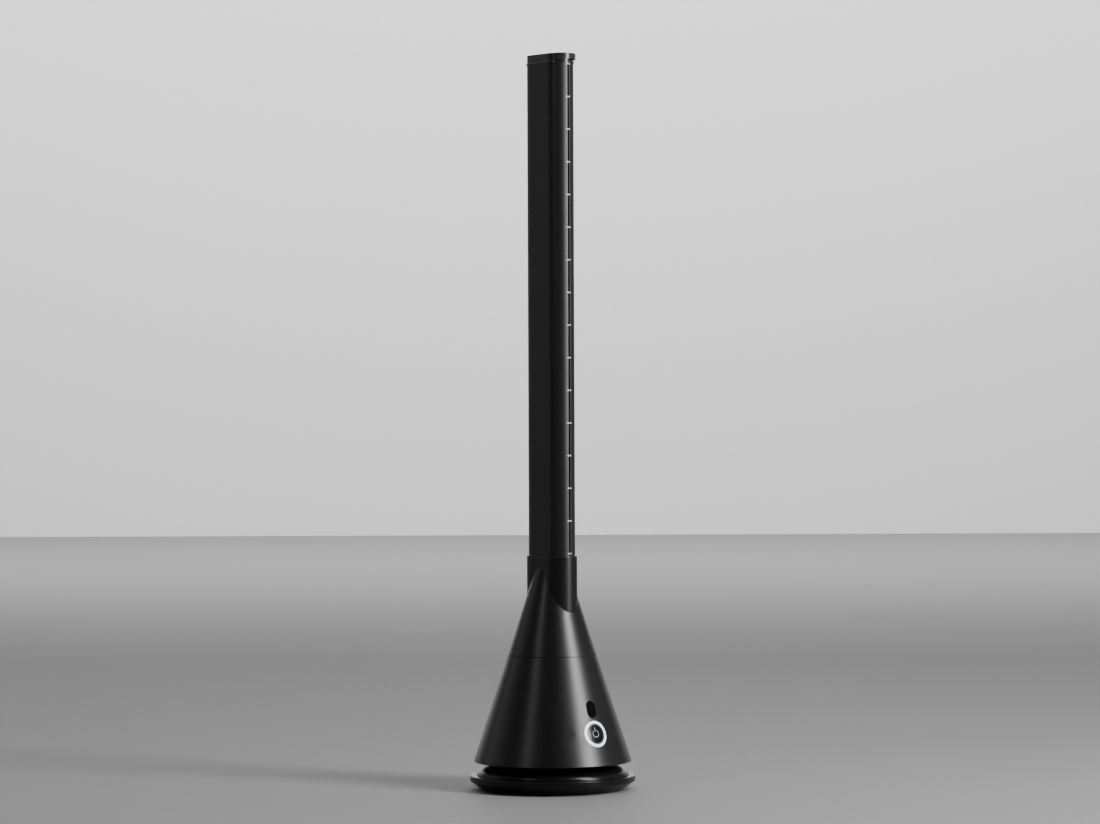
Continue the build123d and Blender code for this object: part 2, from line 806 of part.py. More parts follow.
# Diffuser: the guide vanes between the bucket and the motor pod
vane_ring_r = bucket_r - bucket_wall - glue_gap
pod_floor_t = 2.0
bearing_seat_r = motor_bearing_r + running_gap
with BuildPart() as diffuser:
    with BuildSketch(Plane.XZ):
        Polygon(
            (shaft_r + 1.0, pod_bottom_z),
            (pod_r, pod_bottom_z),
            (pod_r, pod_top_z),
            (pod_r - pod_wall, pod_top_z),
            (pod_r - pod_wall, pod_bottom_z + pod_floor_t),
            (bearing_seat_r + 2.0, pod_bottom_z + pod_floor_t),
            (bearing_seat_r + 2.0, pod_bottom_z + pod_floor_t + motor_bearing_t),
            (bearing_seat_r, pod_bottom_z + pod_floor_t + motor_bearing_t),
            (bearing_seat_r, pod_bottom_z + pod_floor_t),
            (shaft_r + 1.0, pod_bottom_z + pod_floor_t),
        )
        Polygon(*ring_points(vane_ring_r - 1.8, vane_ring_r, pod_bottom_z, pod_top_z))
    revolve(axis=Axis.Z)
    with BuildSketch(Plane.XY.offset(pod_bottom_z)):
        with PolarLocations((pod_r + vane_ring_r) / 2 - 0.9, vane_count):
            Rectangle(vane_ring_r - pod_r - 0.2, vane_t, rotation=18)
    extrude(amount=pod_top_z - pod_bottom_z)
diffuser.part.label = "diffuser"
export_step(diffuser.part, "parts/diffuser.step")

tail_seat_z = pod_top_z - 4.0
stator_out_r = pod_r - pod_wall - glue_gap
dome_points = [(pod_r * cos(radians(9 * k)), pod_top_z + tail_h * sin(radians(9 * k))) for k in range(10)]
with BuildPart() as tail_fairing:
    with BuildSketch(Plane.XZ):
        Polygon(
            (0, tail_seat_z),
            (stator_out_r, tail_seat_z),
            (stator_out_r, pod_top_z),
            *dome_points,
            (0, pod_top_z + tail_h),
        )
        Polygon(*ring_points(bearing_seat_r, bearing_seat_r + 2.0, tail_seat_z - motor_bearing_t, tail_seat_z))
    revolve(axis=Axis.Z)
tail_fairing.part.label = "tail_fairing"
export_step(tail_fairing.part, "parts/tail_fairing.step")

# Motor inside the pod
lower_bearing_z = pod_bottom_z + pod_floor_t
upper_bearing_z = tail_seat_z - motor_bearing_t
with BuildPart() as motor_bearings:
    with BuildSketch(Plane.XZ):
        Polygon(
            *ring_points(shaft_r + running_gap, motor_bearing_r, lower_bearing_z, lower_bearing_z + motor_bearing_t)
        )
        Polygon(
            *ring_points(shaft_r + running_gap, motor_bearing_r, upper_bearing_z, upper_bearing_z + motor_bearing_t)
        )
    revolve(axis=Axis.Z)
motor_bearings.part.label = "motor_bearings"
export_step(motor_bearings.part, "parts/motor_bearings.step")

stator_z = lower_bearing_z + motor_bearing_t + 0.5
stator_end_z = upper_bearing_z - 0.5
with BuildPart() as motor_stator:
    with BuildSketch(Plane.XY.offset(stator_z)):
        Circle(stator_out_r)
        Circle(stator_out_r - stator_t, mode=Mode.SUBTRACT)
        with PolarLocations(stator_out_r - stator_t / 2 - 1.4, 9):
            RectangleRounded(stator_t - 4.0, 4.0, 0.8, mode=Mode.SUBTRACT)
    extrude(amount=stator_end_z - stator_z)
motor_stator.part.label = "motor_stator"
export_step(motor_stator.part, "parts/motor_stator.step")

shaft_low_z = impeller_z - 6.0
with BuildPart() as motor_shaft:
    with BuildSketch(Plane.XY.offset(shaft_low_z)):
        Circle(shaft_r)
    extrude(amount=tail_seat_z - 0.5 - shaft_low_z)
motor_shaft.part.label = "motor_shaft"
export_step(motor_shaft.part, "parts/motor_shaft.step")

with BuildPart() as rotor_magnet:
    with BuildSketch(Plane.XY.offset(stator_z)):
        Circle(stator_out_r - stator_t - 0.6)
        Circle(shaft_r, mode=Mode.SUBTRACT)
    extrude(amount=stator_end_z - stator_z)
rotor_magnet.part.label = "rotor_magnet"
export_step(rotor_magnet.part, "parts/rotor_magnet.step")

# Impeller: a conical hub with leaning blades
impeller_top_z = impeller_z + impeller_h
tip_r = bucket_r - bucket_wall - tip_gap
with BuildPart() as impeller:
    with BuildSketch(Plane.XZ):
        Polygon((shaft_r, impeller_z), (12.0, impeller_z), (pod_r - 0.5, impeller_top_z), (shaft_r, impeller_top_z))
    revolve(axis=Axis.Z)
    with PolarLocations(0, blade_count):
        with Locations(Location((tip_r / 2 + 5, 0, impeller_z + impeller_h / 2), (35, 0, 0))):
            Box(tip_r + 4, blade_t, impeller_h + 10)
    with BuildSketch(Plane.XZ):
        Polygon((shaft_r, impeller_z), (tip_r, impeller_z), (tip_r, impeller_top_z), (shaft_r, impeller_top_z))
    revolve(axis=Axis.Z, mode=Mode.INTERSECT)
impeller.part.label = "impeller"
export_step(impeller.part, "parts/impeller.step")

with BuildPart() as shaft_nut:
    with BuildSketch(Plane.XY.offset(impeller_z - 3.0)):
        RegularPolygon(4.5, 6)
        Circle(shaft_r, mode=Mode.SUBTRACT)
    extrude(amount=3.0)
shaft_nut.part.label = "shaft_nut"
export_step(shaft_nut.part, "parts/shaft_nut.step")

# Driver board on the turntable's posts, with its parts standing on it
driver_z = turntable_top_z + post_h
with BuildPart() as driver_board:
    with BuildSketch(Plane.XY.offset(driver_z)):
        with Locations((0, 38)):
            RectangleRounded(50, 28, 2)
        with Locations(*board_post_places):
            Circle(screw_r + 0.1, mode=Mode.SUBTRACT)
    extrude(amount=board_t)
    with BuildSketch(Plane.XY.offset(driver_z + board_t)):
        with Locations((-8, 44), (-18, 38)):
            Circle(3.5)
        with Locations((10, 42)):
            Rectangle(12, 8)
        with Locations((0, 30)):
            Rectangle(9, 6)
    extrude(amount=7.0)
driver_board.part.label = "driver_board"
export_step(driver_board.part, "parts/driver_board.step")

driver_screws = screw_group(board_post_places, driver_z + board_t, 6.0, up=False)
driver_screws.part.label = "driver_screws"
export_step(driver_screws.part, "parts/driver_screws.step")

# Supply lead inside the base and its onward run to the driver board
lead_bend = 6.0
lead_end_z = spindle_top_z + 4.0
with BuildPart() as base_lead:
    with BuildLine():
        FilletPolyline(
            (0, socket_face_y - socket_depth, lead_z), (0, 0, lead_z), (0, 0, lead_end_z), radius=lead_bend
        )
    with BuildSketch(Plane.XZ.offset(-(socket_face_y - socket_depth))):
        with Locations((0, lead_z)):
            Circle(lead_r)
    sweep()
base_lead.part.label = "base_lead"
export_step(base_lead.part, "parts/base_lead.step")

tower_lead_z = lead_end_z + 0.3
with BuildPart() as tower_lead:
    with BuildLine():
        FilletPolyline(
            (0, 0, tower_lead_z),
            (0, 0, tower_lead_z + 16),
            (0, 30, tower_lead_z + 16),
            (0, 30, driver_z + board_t + 7.0),
            radius=10.0,
        )
    with BuildSketch(Plane.XY.offset(tower_lead_z)):
        Circle(lead_r)
    sweep()
tower_lead.part.label = "tower_lead"
export_step(tower_lead.part, "parts/tower_lead.step")

# Light ring that follows the cone's face
with BuildPart() as light_ring:
    with BuildSketch(button_plane.offset(-ring_depth)):
        Circle(ring_outer_r)
        Circle(ring_inner_r, mode=Mode.SUBTRACT)
    extrude(amount=ring_depth + 2)
    with BuildSketch(Plane.XZ):
        Polygon(*cone_section(0, cone_foot_z, seam_z))
    revolve(axis=Axis.Z, mode=Mode.INTERSECT)
light_ring.part.label = "light_ring"
export_step(light_ring.part, "parts/light_ring.step")

# Button with a lip behind the ring, its face cut for the mark
button_r = ring_inner_r - seat_gap
lip_front = ring_depth + seat_gap


def mark_sketch(depth):
    """Broken ring and upright bar of the mark on the button's face."""
    with BuildSketch(button_plane.offset(-depth)) as outline:
        with Locations((0, -mark_drop)):
            Circle(mark_r + mark_stroke / 2)
            Circle(mark_r - mark_stroke / 2, mode=Mode.SUBTRACT)
        with Locations((0, mark_r - mark_drop)):
            Rectangle(mark_gap_w, mark_r, mode=Mode.SUBTRACT)
        with Locations((0, mark_r - mark_drop + mark_stroke)):
            Rectangle(mark_stroke, mark_bar)
    return outline


with BuildPart() as power_button:
    with BuildSketch(button_plane.offset(-button_t)):
        Circle(button_r)
    extrude(amount=button_t + 2)
    with BuildSketch(Plane.XZ):
        Polygon(*cone_section(button_recess / cos(radians(cone_half_angle)), cone_foot_z, seam_z))
    revolve(axis=Axis.Z, mode=Mode.INTERSECT)
    with BuildSketch(button_plane.offset(-button_t)):
        Circle(button_r + button_lip)
    extrude(amount=button_t - lip_front)
    add(mark_sketch(button_recess + mark_depth).sketch)
    extrude(amount=3.0, mode=Mode.SUBTRACT)
power_button.part.label = "power_button"
export_step(power_button.part, "parts/power_button.step")

with BuildPart() as power_mark:
    add(mark_sketch(button_recess + mark_depth).sketch)
    extrude(amount=3.0)
    with BuildSketch(Plane.XZ):
        Polygon(*cone_section(button_recess / cos(radians(cone_half_angle)), cone_foot_z, seam_z))
    revolve(axis=Axis.Z, mode=Mode.INTERSECT)
power_mark.part.label = "power_mark"
export_step(power_mark.part, "parts/power_mark.step")

plunger_tip = board_inset - switch_h - 1.2 - button_travel - 0.1
with BuildPart() as switch_plunger:
    with BuildSketch(button_plane.offset(-plunger_tip)):
        Circle(plunger_r)
    extrude(amount=plunger_tip - button_t)
switch_plunger.part.label = "switch_plunger"
export_step(switch_plunger.part, "parts/switch_plunger.step")

# Housing behind the ring that guides the button, with two ears
with BuildPart() as button_housing:
    with BuildSketch(button_plane.offset(-board_inset)):
        Circle(housing_r)
    extrude(amount=board_inset - ring_depth)
    with BuildSketch(button_plane.offset(-board_inset)):
        Rectangle(2 * (board_screw_places[1][0] + 4), 9)
    extrude(amount=board_inset - boss_inset)
    with BuildSketch(button_plane.offset(-board_inset)):
        Rectangle(switch_w + 1.0, switch_w + 1.0)
        with Locations(*board_screw_places):
            Circle(screw_r + 0.1)
    extrude(amount=housing_wall + 1, mode=Mode.SUBTRACT)
    with BuildSketch(button_plane.offset(-board_inset + housing_wall)):
        Circle(button_r + button_lip + seat_gap)
    extrude(amount=board_inset, mode=Mode.SUBTRACT)
button_housing.part.label = "button_housing"
export_step(button_housing.part, "parts/button_housing.step")

# Control board behind the housing, reaching up behind the window
board_rise = (window_z - button_z) / cos(radians(cone_half_angle))
with BuildPart() as control_board:
    with BuildSketch(button_plane.offset(-board_inset - board_t)):
        with Locations((0, board_rise / 2)):
            RectangleRounded(board_w, board_h, 2)
        Rectangle(2 * (board_screw_places[1][0] + 4), 9)
        with Locations(*board_screw_places):
            Circle(screw_r + 0.1, mode=Mode.SUBTRACT)
    extrude(amount=board_t)
control_board.part.label = "control_board"
export_step(control_board.part, "parts/control_board.step")

with BuildPart() as board_screws:
    with BuildSketch(button_plane.offset(-board_inset - board_t)):
        with Locations(*board_screw_places):
            Circle(screw_head_r)
    extrude(amount=-screw_head_h)
    with BuildSketch(button_plane.offset(-board_inset - board_t)):
        with Locations(*board_screw_places):
            Circle(screw_r)
    extrude(amount=board_t + board_inset - boss_inset + 5.0)
board_screws.part.label = "board_screws"
export_step(board_screws.part, "parts/board_screws.step")

with BuildPart() as button_switch:
    with BuildSketch(button_plane.offset(-board_inset)):
        Rectangle(switch_w, switch_w)
    extrude(amount=switch_h)
    with BuildSketch(button_plane.offset(-board_inset + switch_h)):
        Circle(1.75)
    extrude(amount=1.2)
button_switch.part.label = "button_switch"
export_step(button_switch.part, "parts/button_switch.step")

with BuildPart() as infrared_receiver:
    with BuildSketch(button_plane.offset(-board_inset)):
        with Locations((0, board_rise)):
            Rectangle(7, 8)
    extrude(amount=5.0)
    with BuildSketch(button_plane.offset(-board_inset + 5.0)):
        with Locations((0, board_rise)):
            Circle(2.6)
    extrude(amount=1.6)
infrared_receiver.part.label = "infrared_receiver"
export_step(infrared_receiver.part, "parts/infrared_receiver.step")

# Window: a dark lens behind the capsule hole, held by its wider back
window_back = window_recess + window_t
with BuildPart() as sensor_window:
    with BuildSketch(window_plane.offset(-window_back)):
        SlotOverall(window_h - 2 * glue_gap, window_w - 2 * glue_gap, rotation=90)
    extrude(amount=window_back)
    with BuildSketch(Plane.XZ):
        Polygon(*cone_section(window_recess / cos(radians(cone_half_angle)), cone_foot_z, seam_z))
    revolve(axis=Axis.Z, mode=Mode.INTERSECT)
    with BuildSketch(window_plane.offset(-window_back - 1.6)):
        SlotOverall(window_h + 2 * window_flange, window_w + 2 * window_flange, rotation=90)
    extrude(amount=1.6)
sensor_window.part.label = "sensor_window"
export_step(sensor_window.part, "parts/sensor_window.step")

# Column: a thin stadium tube with the slit at its front nose
nose_y = column_length / 2
with BuildPart() as column:
    with BuildSketch(Plane.XY.offset(column_bottom_z)):
        stadium(column_length, column_width)
        SlotOverall(column_length - 2 * column_wall, column_width - 2 * column_wall, rotation=90, mode=Mode.SUBTRACT)
    extrude(amount=column_top_z - column_bottom_z)
    with BuildSketch(Plane.XY.offset(slot_foot_z - lip_t)):
        with Locations((0, -nose_y)):
            Rectangle(slot_w + 2 * lip_t + 2 * glue_gap, 2 * lip_depth)
    extrude(amount=column_top_z, mode=Mode.SUBTRACT)
column.part.label = "column"
export_step(column.part, "parts/column.step")

# Slot insert: the two lips, the cross vanes and the wings that hold it inside the slit
vane_pitch = (column_top_z - slot_head_gap - slot_foot_z) / vane_pitches
lip_back_y = -nose_y + lip_depth
wing_y = -nose_y + column_wall + 1.2
with BuildPart() as slot_insert:
    with BuildSketch(Plane.XY.offset(slot_foot_z - lip_t + glue_gap)):
        stadium(column_length, column_width)
        with Locations((0, -nose_y)):
            Rectangle(slot_w + 2 * lip_t, 2 * lip_depth, mode=Mode.INTERSECT)
        with Locations((0, (wing_y + lip_back_y) / 2)):
            Rectangle(wing_w, lip_back_y - wing_y)
    extrude(amount=column_top_z - slot_foot_z + lip_t - glue_gap)
    with BuildSketch(Plane.XY.offset(slot_foot_z)):
        with Locations((0, -nose_y)):
            Rectangle(slot_w, 3 * lip_depth)
    extrude(amount=column_top_z - slot_head_gap - slot_foot_z, mode=Mode.SUBTRACT)
    for step in range(1, vane_pitches):
        with BuildSketch(Plane.XY.offset(slot_foot_z + step * vane_pitch - vane_h / 2)):
            with Locations((0, (lip_back_y - nose_y + vane_recess) / 2)):
                Rectangle(slot_w, lip_depth - vane_recess)
        extrude(amount=vane_h)
slot_insert.part.label = "slot_insert"
export_step(slot_insert.part, "parts/slot_insert.step")

# Foot ring inside the column's end, the gasket under it and its screws
with BuildPart() as column_foot:
    with BuildSketch(Plane.XY.offset(column_bottom_z)):
        SlotOverall(foot_length, foot_width, rotation=90)
        SlotOverall(air_length, air_width, rotation=90, mode=Mode.SUBTRACT)
        with Locations(*foot_hole_places):
            Circle(screw_r, mode=Mode.SUBTRACT)
    extrude(amount=foot_h)
column_foot.part.label = "column_foot"
export_step(column_foot.part, "parts/column_foot.step")

with BuildPart() as column_gasket:
    with BuildSketch(Plane.XY.offset(column_bottom_z - gasket_t)):
        SlotOverall(column_length, column_width, rotation=90)
        SlotOverall(air_length, air_width, rotation=90, mode=Mode.SUBTRACT)
        with Locations(*foot_hole_places):
            Circle(screw_r + 0.1, mode=Mode.SUBTRACT)
    extrude(amount=gasket_t)
column_gasket.part.label = "column_gasket"
export_step(column_gasket.part, "parts/column_gasket.step")

column_screws = screw_group(foot_hole_places, socket_floor_z, ledge_t + gasket_t + foot_screw_depth)
column_screws.part.label = "column_screws"
export_step(column_screws.part, "parts/column_screws.step")

# Lip ring on the column's end: a bead, a neck and a skirt inside the tube
ring_in_length = foot_length - 4.0
ring_in_width = foot_width - 4.0
with BuildPart() as lip_ring:
    with BuildSketch(Plane.XY.offset(column_top_z)):
        stadium(column_length, column_width, bead_out)
    extrude(amount=bead_h)
    fillet(lip_ring.faces().sort_by(Axis.Z)[-1].edges(), bead_out * 0.8)
    with BuildSketch(Plane.XY.offset(column_top_z)):
        stadium(column_length, column_width)
    extrude(amount=ring_h)
    with BuildSketch(Plane.XY.offset(column_top_z - skirt_depth)):
        SlotOverall(foot_length, foot_width, rotation=90)
        with Locations((0, -nose_y)):
            Rectangle(wing_w + 1.0, 2 * lip_depth + 1, mode=Mode.SUBTRACT)
    extrude(amount=skirt_depth)
    with BuildSketch(Plane.XY.offset(column_top_z - skirt_depth)):
        SlotOverall(ring_in_length, ring_in_width, rotation=90)
    extrude(amount=skirt_depth + ring_h, mode=Mode.SUBTRACT)
lip_ring.part.label = "lip_ring"
export_step(lip_ring.part, "parts/lip_ring.step")

# Top cap: a hollow lid with a visor standing proud at the front
cap_z = column_top_z + ring_h
cap_top_z = cap_z + cap_h
nose_r = column_width / 2
cap_length = ring_in_length - 2 * glue_gap
cap_width = ring_in_width - 2 * glue_gap
visor_reach = 2 * (nose_r + visor_out)
with BuildPart() as top_cap:
    with BuildSketch(Plane.XY.offset(cap_z)):
        stadium(column_length, column_width)
    extrude(amount=cap_h)
    with BuildSketch(Plane.XY.offset(cap_z - visor_drop)):
        with Locations((0, -(column_length - column_width) / 2)):
            Circle(nose_r + visor_out)
            Polygon(
                (0, 0),
                (-visor_reach * sin(radians(visor_half_angle)), -visor_reach * cos(radians(visor_half_angle))),
                (visor_reach * sin(radians(visor_half_angle)), -visor_reach * cos(radians(visor_half_angle))),
                mode=Mode.INTERSECT,
            )
    extrude(amount=cap_h + visor_drop)
    with BuildSketch(Plane.XY.offset(cap_z - visor_drop)):
        stadium(column_length, column_width, glue_gap)
    extrude(amount=visor_drop, mode=Mode.SUBTRACT)
    fillet(top_cap.faces().sort_by(Axis.Z)[-1].edges(), cap_edge_r)
    with BuildSketch(Plane.XY.offset(cap_z - 7.0)):
        SlotOverall(cap_length, cap_width, rotation=90)
    extrude(amount=8.0)
    with BuildSketch(Plane.XY.offset(cap_z - 7.0)):
        SlotOverall(cap_length - 4.0, cap_width - 4.0, rotation=90)
        with Locations((0, -nose_y)):
            Rectangle(wing_w + 1.0, 2 * lip_depth + 1)
    extrude(amount=7.0, mode=Mode.SUBTRACT)
    with BuildSketch(Plane.XY.offset(cap_z)):
        SlotOverall(cap_length - 4.0, cap_width - 4.0, rotation=90)
    extrude(amount=cap_h - 2.5, mode=Mode.SUBTRACT)
top_cap.part.label = "top_cap"
export_step(top_cap.part, "parts/top_cap.step")
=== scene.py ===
"""Looks, stage and camera for a bladeless tower fan with a conical body on a round base."""

import math

import bpy
from mathutils import Matrix, Vector


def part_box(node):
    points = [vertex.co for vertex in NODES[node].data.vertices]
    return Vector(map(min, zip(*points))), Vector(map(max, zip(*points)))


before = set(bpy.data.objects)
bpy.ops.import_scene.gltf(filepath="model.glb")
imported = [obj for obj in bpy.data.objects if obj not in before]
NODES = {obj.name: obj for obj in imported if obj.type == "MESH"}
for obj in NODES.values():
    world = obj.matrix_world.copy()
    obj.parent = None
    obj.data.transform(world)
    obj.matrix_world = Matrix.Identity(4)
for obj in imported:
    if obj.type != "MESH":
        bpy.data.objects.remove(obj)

bl_info = {
    "name": "Tower fan",
    "version": (1, 0, 0),
    "blender": (4, 5, 0),
    "location": "3D View > Sidebar > Tower Fan",
    "description": "Dresses the frame of a bladeless tower fan, its stage and its camera",
    "category": "Object",
}

# Lit ring: the cone's half angle, the radius where the glow starts and how sharply it does
CONE_HALF_ANGLE = math.radians(17.97)
RING_LIT_FROM = 0.0138
RING_EDGE_SHARPNESS = 900.0

# Cross vanes: their number of pitches, their height, how sharply the painted highlight at each vane ends,
# and how far the slot lies inside its insert's ends
VANE_PITCHES = 15
VANE_HEIGHT = 0.0016
VANE_GLINT_SHARPNESS = 400.0
SLOT_FOOT_INSET = 0.0019
SLOT_HEAD_INSET = 0.0015

# Stage sheets, and the camera's last turn that centres the fan in the frame
SHEET_WIDTH = 30.0
FLOOR_DEPTH = 40.0
WALL_HEIGHT = 10.0
WALL_OVERLAP = 0.01
CAMERA_AIM_TURN = math.radians(0.0215)

# Room: its bright side seen from the camera (right, ahead, up), and pairs of place and
# brightness, where place 0 lies behind the camera and place 1 behind the fan
BRIGHT_SIDE = (-0.14, 0.99, 0.0)
ROOM_TONES = (
    (0.0, 0.04),
    (0.25, 0.05),
    (0.43, 0.11),
    (0.5, 0.17),
    (0.57, 0.25),
    (0.64, 0.37),
    (0.7, 0.46),
    (0.78, 0.6),
    (1.0, 0.7),
)


# Sizes and colours that a user would change


class TowerFanFinish(bpy.types.PropertyGroup):
    """Colours and surface of the fan's visible pieces."""

    body_colour: bpy.props.FloatVectorProperty(
        name="Body colour",
        description="Base colour of the conical body",
        default=(0.0028, 0.0028, 0.003),
        size=3,
        min=0.0,
        max=1.0,
        subtype="COLOR",
    )
    body_roughness: bpy.props.FloatProperty(
        name="Body roughness",
        description="Roughness of the conical body's satin surface",
        default=0.33,
        min=0.0,
        max=1.0,
        subtype="FACTOR",
    )
    column_colour: bpy.props.FloatVectorProperty(
        name="Column colour",
        description="Base colour of the anodised column",
        default=(0.008, 0.008, 0.0085),
        size=3,
        min=0.0,
        max=1.0,
        subtype="COLOR",
    )
    column_roughness: bpy.props.FloatProperty(
        name="Column roughness",
        description="Roughness of the column's anodised surface",
        default=0.38,
        min=0.0,
        max=1.0,
        subtype="FACTOR",
    )
    gloss_colour: bpy.props.FloatVectorProperty(
        name="Gloss colour",
        description="Base colour of the polished black mouldings",
        default=(0.004, 0.004, 0.0042),
        size=3,
        min=0.0,
        max=1.0,
        subtype="COLOR",
    )
    glow_colour: bpy.props.FloatVectorProperty(
        name="Glow colour",
        description="Colour of the lit ring around the button",
        default=(0.93, 0.97, 1.0),
        size=3,
        min=0.0,
        max=1.0,
        subtype="COLOR",
    )
    glow_strength: bpy.props.FloatProperty(
        name="Glow strength",
        description="How strongly the ring around the button glows",
        default=1.0,
        min=0.0,
        max=20.0,
    )


class TowerFanStage(bpy.types.PropertyGroup):
    """Place of the camera and tone of the room."""

    camera_distance: bpy.props.FloatProperty(
        name="Camera distance",
        description="Level distance from the fan's axis to the camera",
        default=4.9726,
        min=0.5,
        unit="LENGTH",
    )
    camera_height: bpy.props.FloatProperty(
        name="Camera height",
        description="Height of the camera above the floor",
        default=0.52475,
        min=0.0,
        unit="LENGTH",
    )
    camera_azimuth: bpy.props.FloatProperty(
        name="Camera azimuth",
        description="Direction of view, counted from the fan's front",
        default=math.radians(-38.535),
        subtype="ANGLE",
    )
    camera_pitch: bpy.props.FloatProperty(
        name="Camera pitch",
        description="Downward tilt of the camera",
        default=math.radians(0.2687),
        subtype="ANGLE",
    )
    camera_roll: bpy.props.FloatProperty(
        name="Camera roll",
        description="Turn of the camera about its own axis",
        default=math.radians(0.2216),
        subtype="ANGLE",
    )
    lens: bpy.props.FloatProperty(
        name="Lens",
        description="Focal length in millimetres",
        default=122.268,
        min=10.0,
    )
    floor_tone: bpy.props.FloatProperty(
        name="Floor tone",
        description="Brightness of the pale floor",
        default=0.225,
        min=0.0,
        max=1.0,
        subtype="FACTOR",
    )
    wall_tone: bpy.props.FloatProperty(
        name="Wall tone",
        description="Brightness of the pale wall",
        default=0.75,
        min=0.0,
        max=1.0,
        subtype="FACTOR",
    )
    wall_distance: bpy.props.FloatProperty(
        name="Wall distance",
        description="Distance from the fan to the wall behind it",
        default=8.98,
        min=0.0,
        unit="LENGTH",
    )
    key_power: bpy.props.FloatProperty(
        name="Key light",
        description="Power of the softbox on the right",
        default=105.0,
        min=0.0,
        unit="POWER",
    )
    fill_power: bpy.props.FloatProperty(
        name="Fill light",
        description="Power of the softbox on the left",
        default=5.0,
        min=0.0,
        unit="POWER",
    )
    wash_power: bpy.props.FloatProperty(
        name="Wall wash",
        description="Power of the light on the wall",
        default=670.0,
        min=0.0,
        unit="POWER",
    )
    overhead_power: bpy.props.FloatProperty(
        name="Overhead light",
        description="Power of the light above the floor",
        default=120.0,
        min=0.0,
        unit="POWER",
    )
    room_light: bpy.props.FloatProperty(
        name="Room light",
        description="Strength of the light that the room itself gives",
        default=1.0,
        min=0.0,
    )


# Small wrapper that lets shader maths be written as sums


class Sum:
    """A shader value; arithmetic on it adds Math nodes."""

    def __init__(self, tree, source):
        self.tree = tree
        self.source = source

    def _join(self, operation, first, second=None):
        node = self.tree.nodes.new("ShaderNodeMath")
        node.operation = operation
        for slot, value in enumerate((first, second)):
            if isinstance(value, Sum):
                self.tree.links.new(value.source, node.inputs[slot])
            elif value is not None:
                node.inputs[slot].default_value = value
        return Sum(self.tree, node.outputs[0])

    def __add__(self, other):
        return self._join("ADD", self, other)

    def __radd__(self, other):
        return self._join("ADD", other, self)

    def __sub__(self, other):
        return self._join("SUBTRACT", self, other)

    def __rsub__(self, other):
        return self._join("SUBTRACT", other, self)

    def __mul__(self, other):
        return self._join("MULTIPLY", self, other)

    def part(self):
        """What is left after the whole number."""
        return self._join("FRACT", self)

    def size(self):
        """The value without its sign."""
        return self._join("ABSOLUTE", self)

    def kept(self):
        """The value held between nought and one."""
        node = self.tree.nodes.new("ShaderNodeClamp")
        self.tree.links.new(self.source, node.inputs["Value"])
        return Sum(self.tree, node.outputs[0])


def surface(name):
    """New material with a principled shader, and its tree and shader."""
    material = bpy.data.materials.new(name)
    material.use_nodes = True
    tree = material.node_tree
    shader = next(n for n in tree.nodes if n.type == "BSDF_PRINCIPLED")
    return material, tree, shader


def place(tree, stretch=(1.0, 1.0, 1.0)):
    """Object coordinates, stretched along each axis."""
    coordinates = tree.nodes.new("ShaderNodeTexCoord")
    mapping = tree.nodes.new("ShaderNodeMapping")
    mapping.inputs["Scale"].default_value = stretch
    tree.links.new(coordinates.outputs["Object"], mapping.inputs["Vector"])
    return mapping.outputs[0]


def noise(tree, scale, detail=3.0, stretch=(1.0, 1.0, 1.0), rough=0.5):
    """Noise between nought and one at a scale per metre."""
    node = tree.nodes.new("ShaderNodeTexNoise")
    node.inputs["Scale"].default_value = scale
    node.inputs["Detail"].default_value = detail
    node.inputs["Roughness"].default_value = rough
    tree.links.new(place(tree, stretch), node.inputs["Vector"])
    return Sum(tree, node.outputs[0])


def height(tree):
    """Height above the floor in metres."""
    split = tree.nodes.new("ShaderNodeSeparateXYZ")
    tree.links.new(place(tree), split.inputs[0])
    return Sum(tree, split.outputs[2])


def tinted(tree, value, dark, light):
    """Colour that runs from dark to light with a value."""
    mix = tree.nodes.new("ShaderNodeMix")
    mix.data_type = "RGBA"
    mix.inputs[6].default_value = (*dark, 1.0)
    mix.inputs[7].default_value = (*light, 1.0)
    tree.links.new(value.source, mix.inputs[0])
    return mix.outputs[2]


def bumped(tree, shader, value, distance, strength=1.0):
    """Bump from a value, with its real depth in metres."""
    bump = tree.nodes.new("ShaderNodeBump")
    bump.inputs["Strength"].default_value = strength
    bump.inputs["Distance"].default_value = distance
    tree.links.new(value.source, bump.inputs["Height"])
    tree.links.new(bump.outputs[0], shader.inputs["Normal"])


def shade(colour, factor):
    """Colour made lighter or darker."""
    return tuple(min(1.0, channel * factor) for channel in colour)


def satin_moulding(name, colour, roughness, grain=0.00002):
    """Satin plastic with a fine spark-eroded grain, faint flow marks and dust."""
    material, tree, shader = surface(name)
    grains = noise(tree, 1600.0, 2.0)
    flow = noise(tree, 9.0, 3.0, (1.0, 1.0, 0.35))
    dust = noise(tree, 420.0, 5.0, rough=0.7)
    speck = (dust - 0.66).kept() * 6.0
    tone = (flow * 0.7 + grains * 0.3 + speck * 0.2).kept()
    tree.links.new(tinted(tree, tone, shade(colour, 0.8), shade(colour, 1.35)), shader.inputs["Base Color"])
    finish = roughness - 0.04 + flow * 0.06 + grains * 0.03
    tree.links.new(finish.source, shader.inputs["Roughness"])
    bumped(tree, shader, grains, grain, 0.5)
    return material


def slot_moulding_painted_glints(name, colour, glint_colour):
    """Black satin plastic with a painted highlight: pale bands at the height of each cross vane stand in for
    light caught by the vanes.
    """
    material, tree, shader = surface(name)
    grains = noise(tree, 1600.0, 2.0)
    low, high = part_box("slot_insert")
    slot_foot = low.z + SLOT_FOOT_INSET
    pitch = (high.z - SLOT_HEAD_INSET - slot_foot) / VANE_PITCHES
    steps = (height(tree) - slot_foot) * (1.0 / pitch) + 0.5
    away = (steps.part() - 0.5).size()
    # Painted highlight: a pale band at each cross vane's height, where the vanes catch light
    vane_glint = ((VANE_HEIGHT / pitch * 0.55 - away) * VANE_GLINT_SHARPNESS).kept()
    tree.links.new(tinted(tree, vane_glint, colour, glint_colour), shader.inputs["Base Color"])
    tree.links.new((0.36 + grains * 0.08).source, shader.inputs["Roughness"])
    bumped(tree, shader, grains, 0.00002, 0.5)
    return material


